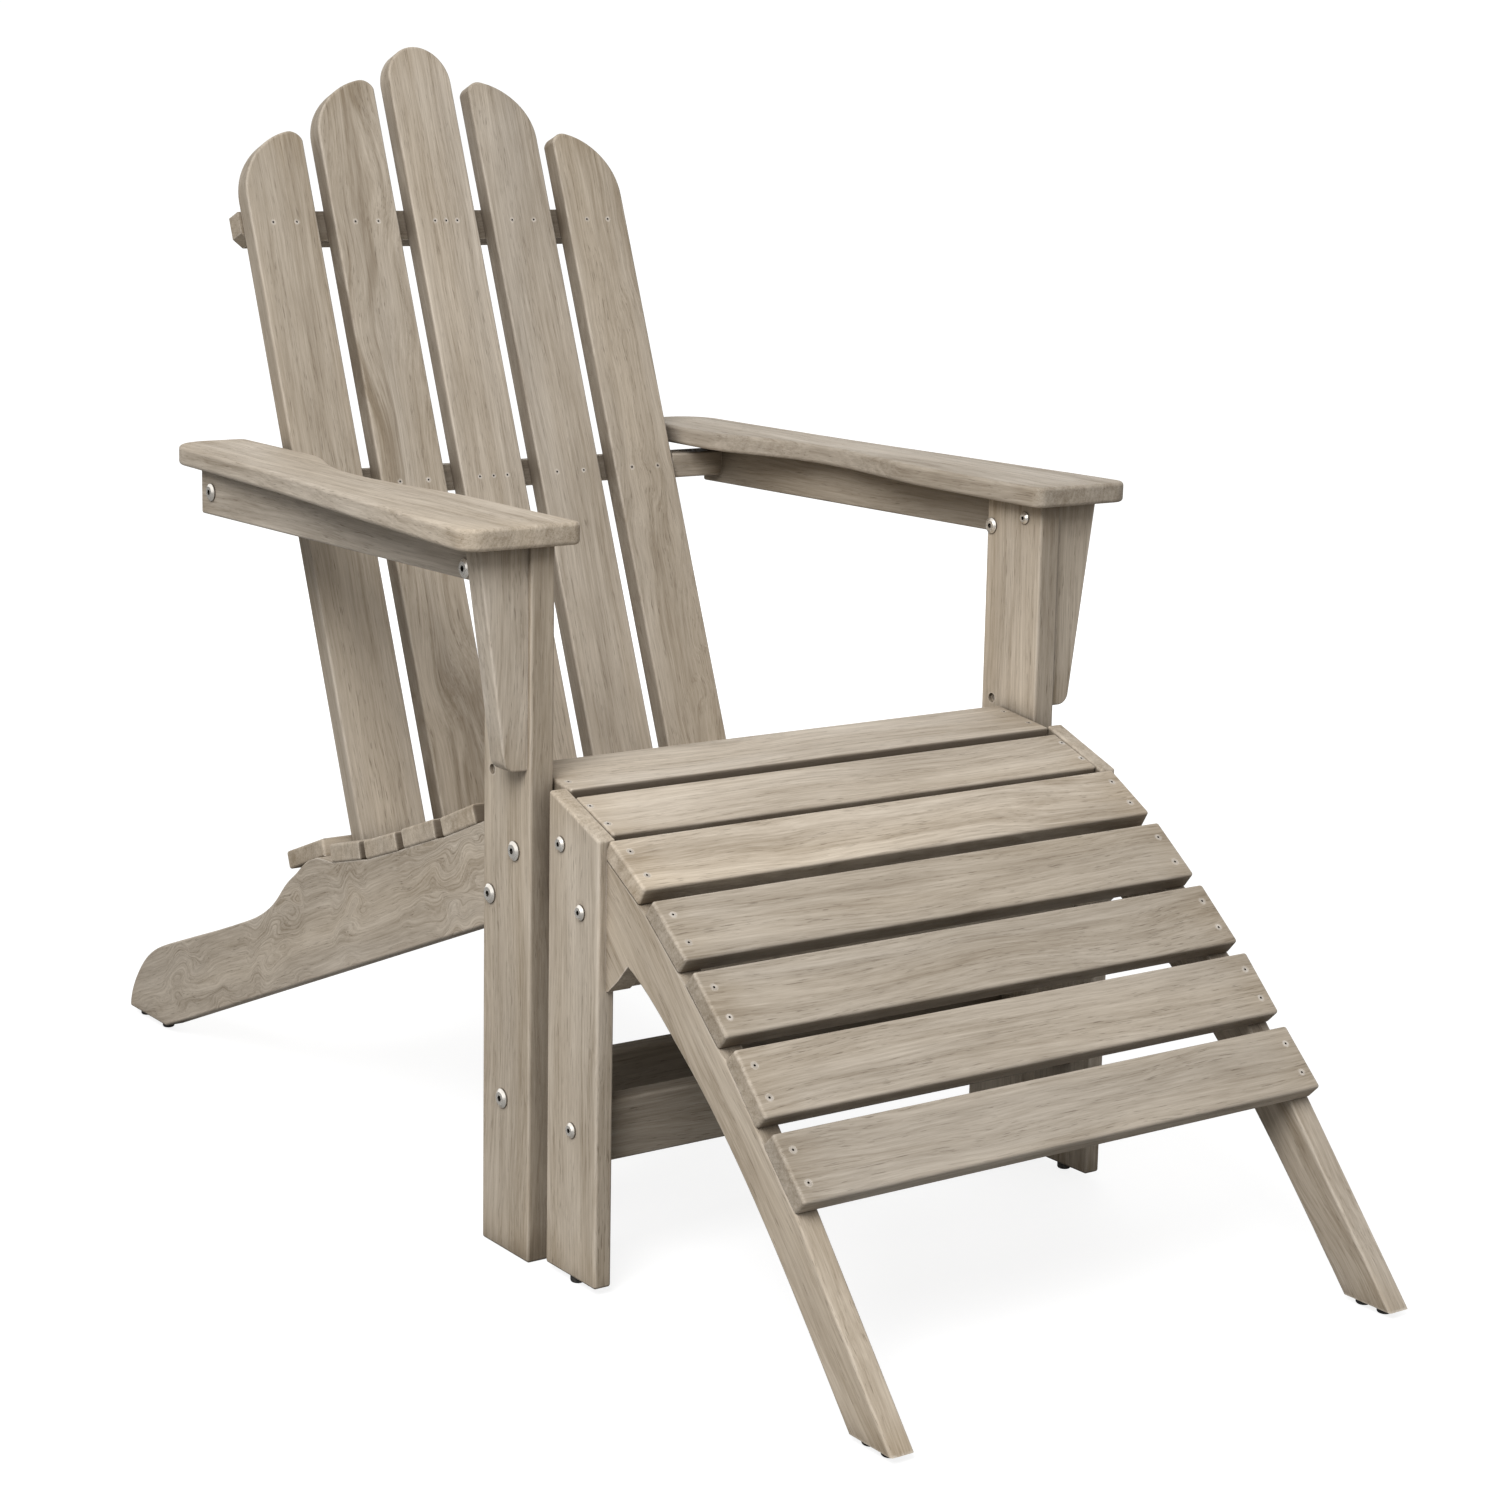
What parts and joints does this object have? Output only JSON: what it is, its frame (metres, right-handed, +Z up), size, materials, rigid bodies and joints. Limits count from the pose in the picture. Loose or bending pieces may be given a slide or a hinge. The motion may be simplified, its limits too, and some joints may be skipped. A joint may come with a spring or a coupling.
{
  "type": "adirondack chair",
  "caption": "Slatted hardwood garden lounge chair with a fanned, leaned-back backrest, wide flat armrests and a separate sloping slatted footrest.",
  "frame": {"origin": "bottom centre of the chair and its footrest, on the ground", "axes": "+Z up, -Y the way the sitter faces (the footrest is at -Y), +X the sitter's left"},
  "size_m": [0.6814, 1.2782, 0.9859],
  "materials": {
    "timber": "grey-washed, satin",
    "dowel": "raw",
    "fittings": "satin zinc",
    "glides": "matte"
  },
  "bodies": {
    "chair": {"side_rail_left": "timber", "side_rail_right": "timber", "front_leg_left": "timber", "front_leg_right": "timber", "front_stretcher": "timber", "seat_slat_front": "timber", "seat_slat_2": "timber", "seat_slat_3": "timber", "seat_slat_4": "timber", "seat_slat_5": "timber", "seat_slat_6": "timber", "lower_back_brace": "timber", "back_slat_1": "timber", "back_slat_2": "timber", "back_slat_3": "timber", "back_slat_4": "timber", "back_slat_5": "timber", "upper_back_brace": "timber", "arm_back_brace": "timber", "armrest_left": "timber", "armrest_right": "timber", "arm_rail_left": "timber", "arm_rail_right": "timber", "arm_corbel_left": "timber", "arm_corbel_right": "timber", "wood_dowels": "dowel", "leg_bolts": "fittings", "leg_nuts": "fittings", "arm_bolts": "fittings", "arm_nuts": "fittings", "stretcher_bolts": "fittings", "barrel_nuts": "fittings", "corbel_screws": "fittings", "seat_screws": "fittings", "back_screws": "fittings", "rear_glides": "glides"},
    "footrest": {"footrest_slat_1": "timber", "footrest_slat_2": "timber", "footrest_slat_3": "timber", "footrest_slat_4": "timber", "footrest_slat_5": "timber", "footrest_slat_6": "timber", "footrest_rail_left": "timber", "footrest_rail_right": "timber", "footrest_leg_left": "timber", "footrest_leg_right": "timber", "footrest_stretcher": "timber", "footrest_upper_stretcher": "timber", "footrest_screws": "fittings", "footrest_bolts": "fittings", "footrest_nuts": "fittings", "footrest_barrel_nuts": "fittings", "footrest_glides": "glides"}
  },
  "joints": [
    {"name": "footrest_slide", "type": "slide", "parent": "chair", "child": "footrest", "axis": [0, -1, 0], "range_m": [0, 0.3]}
  ]
}
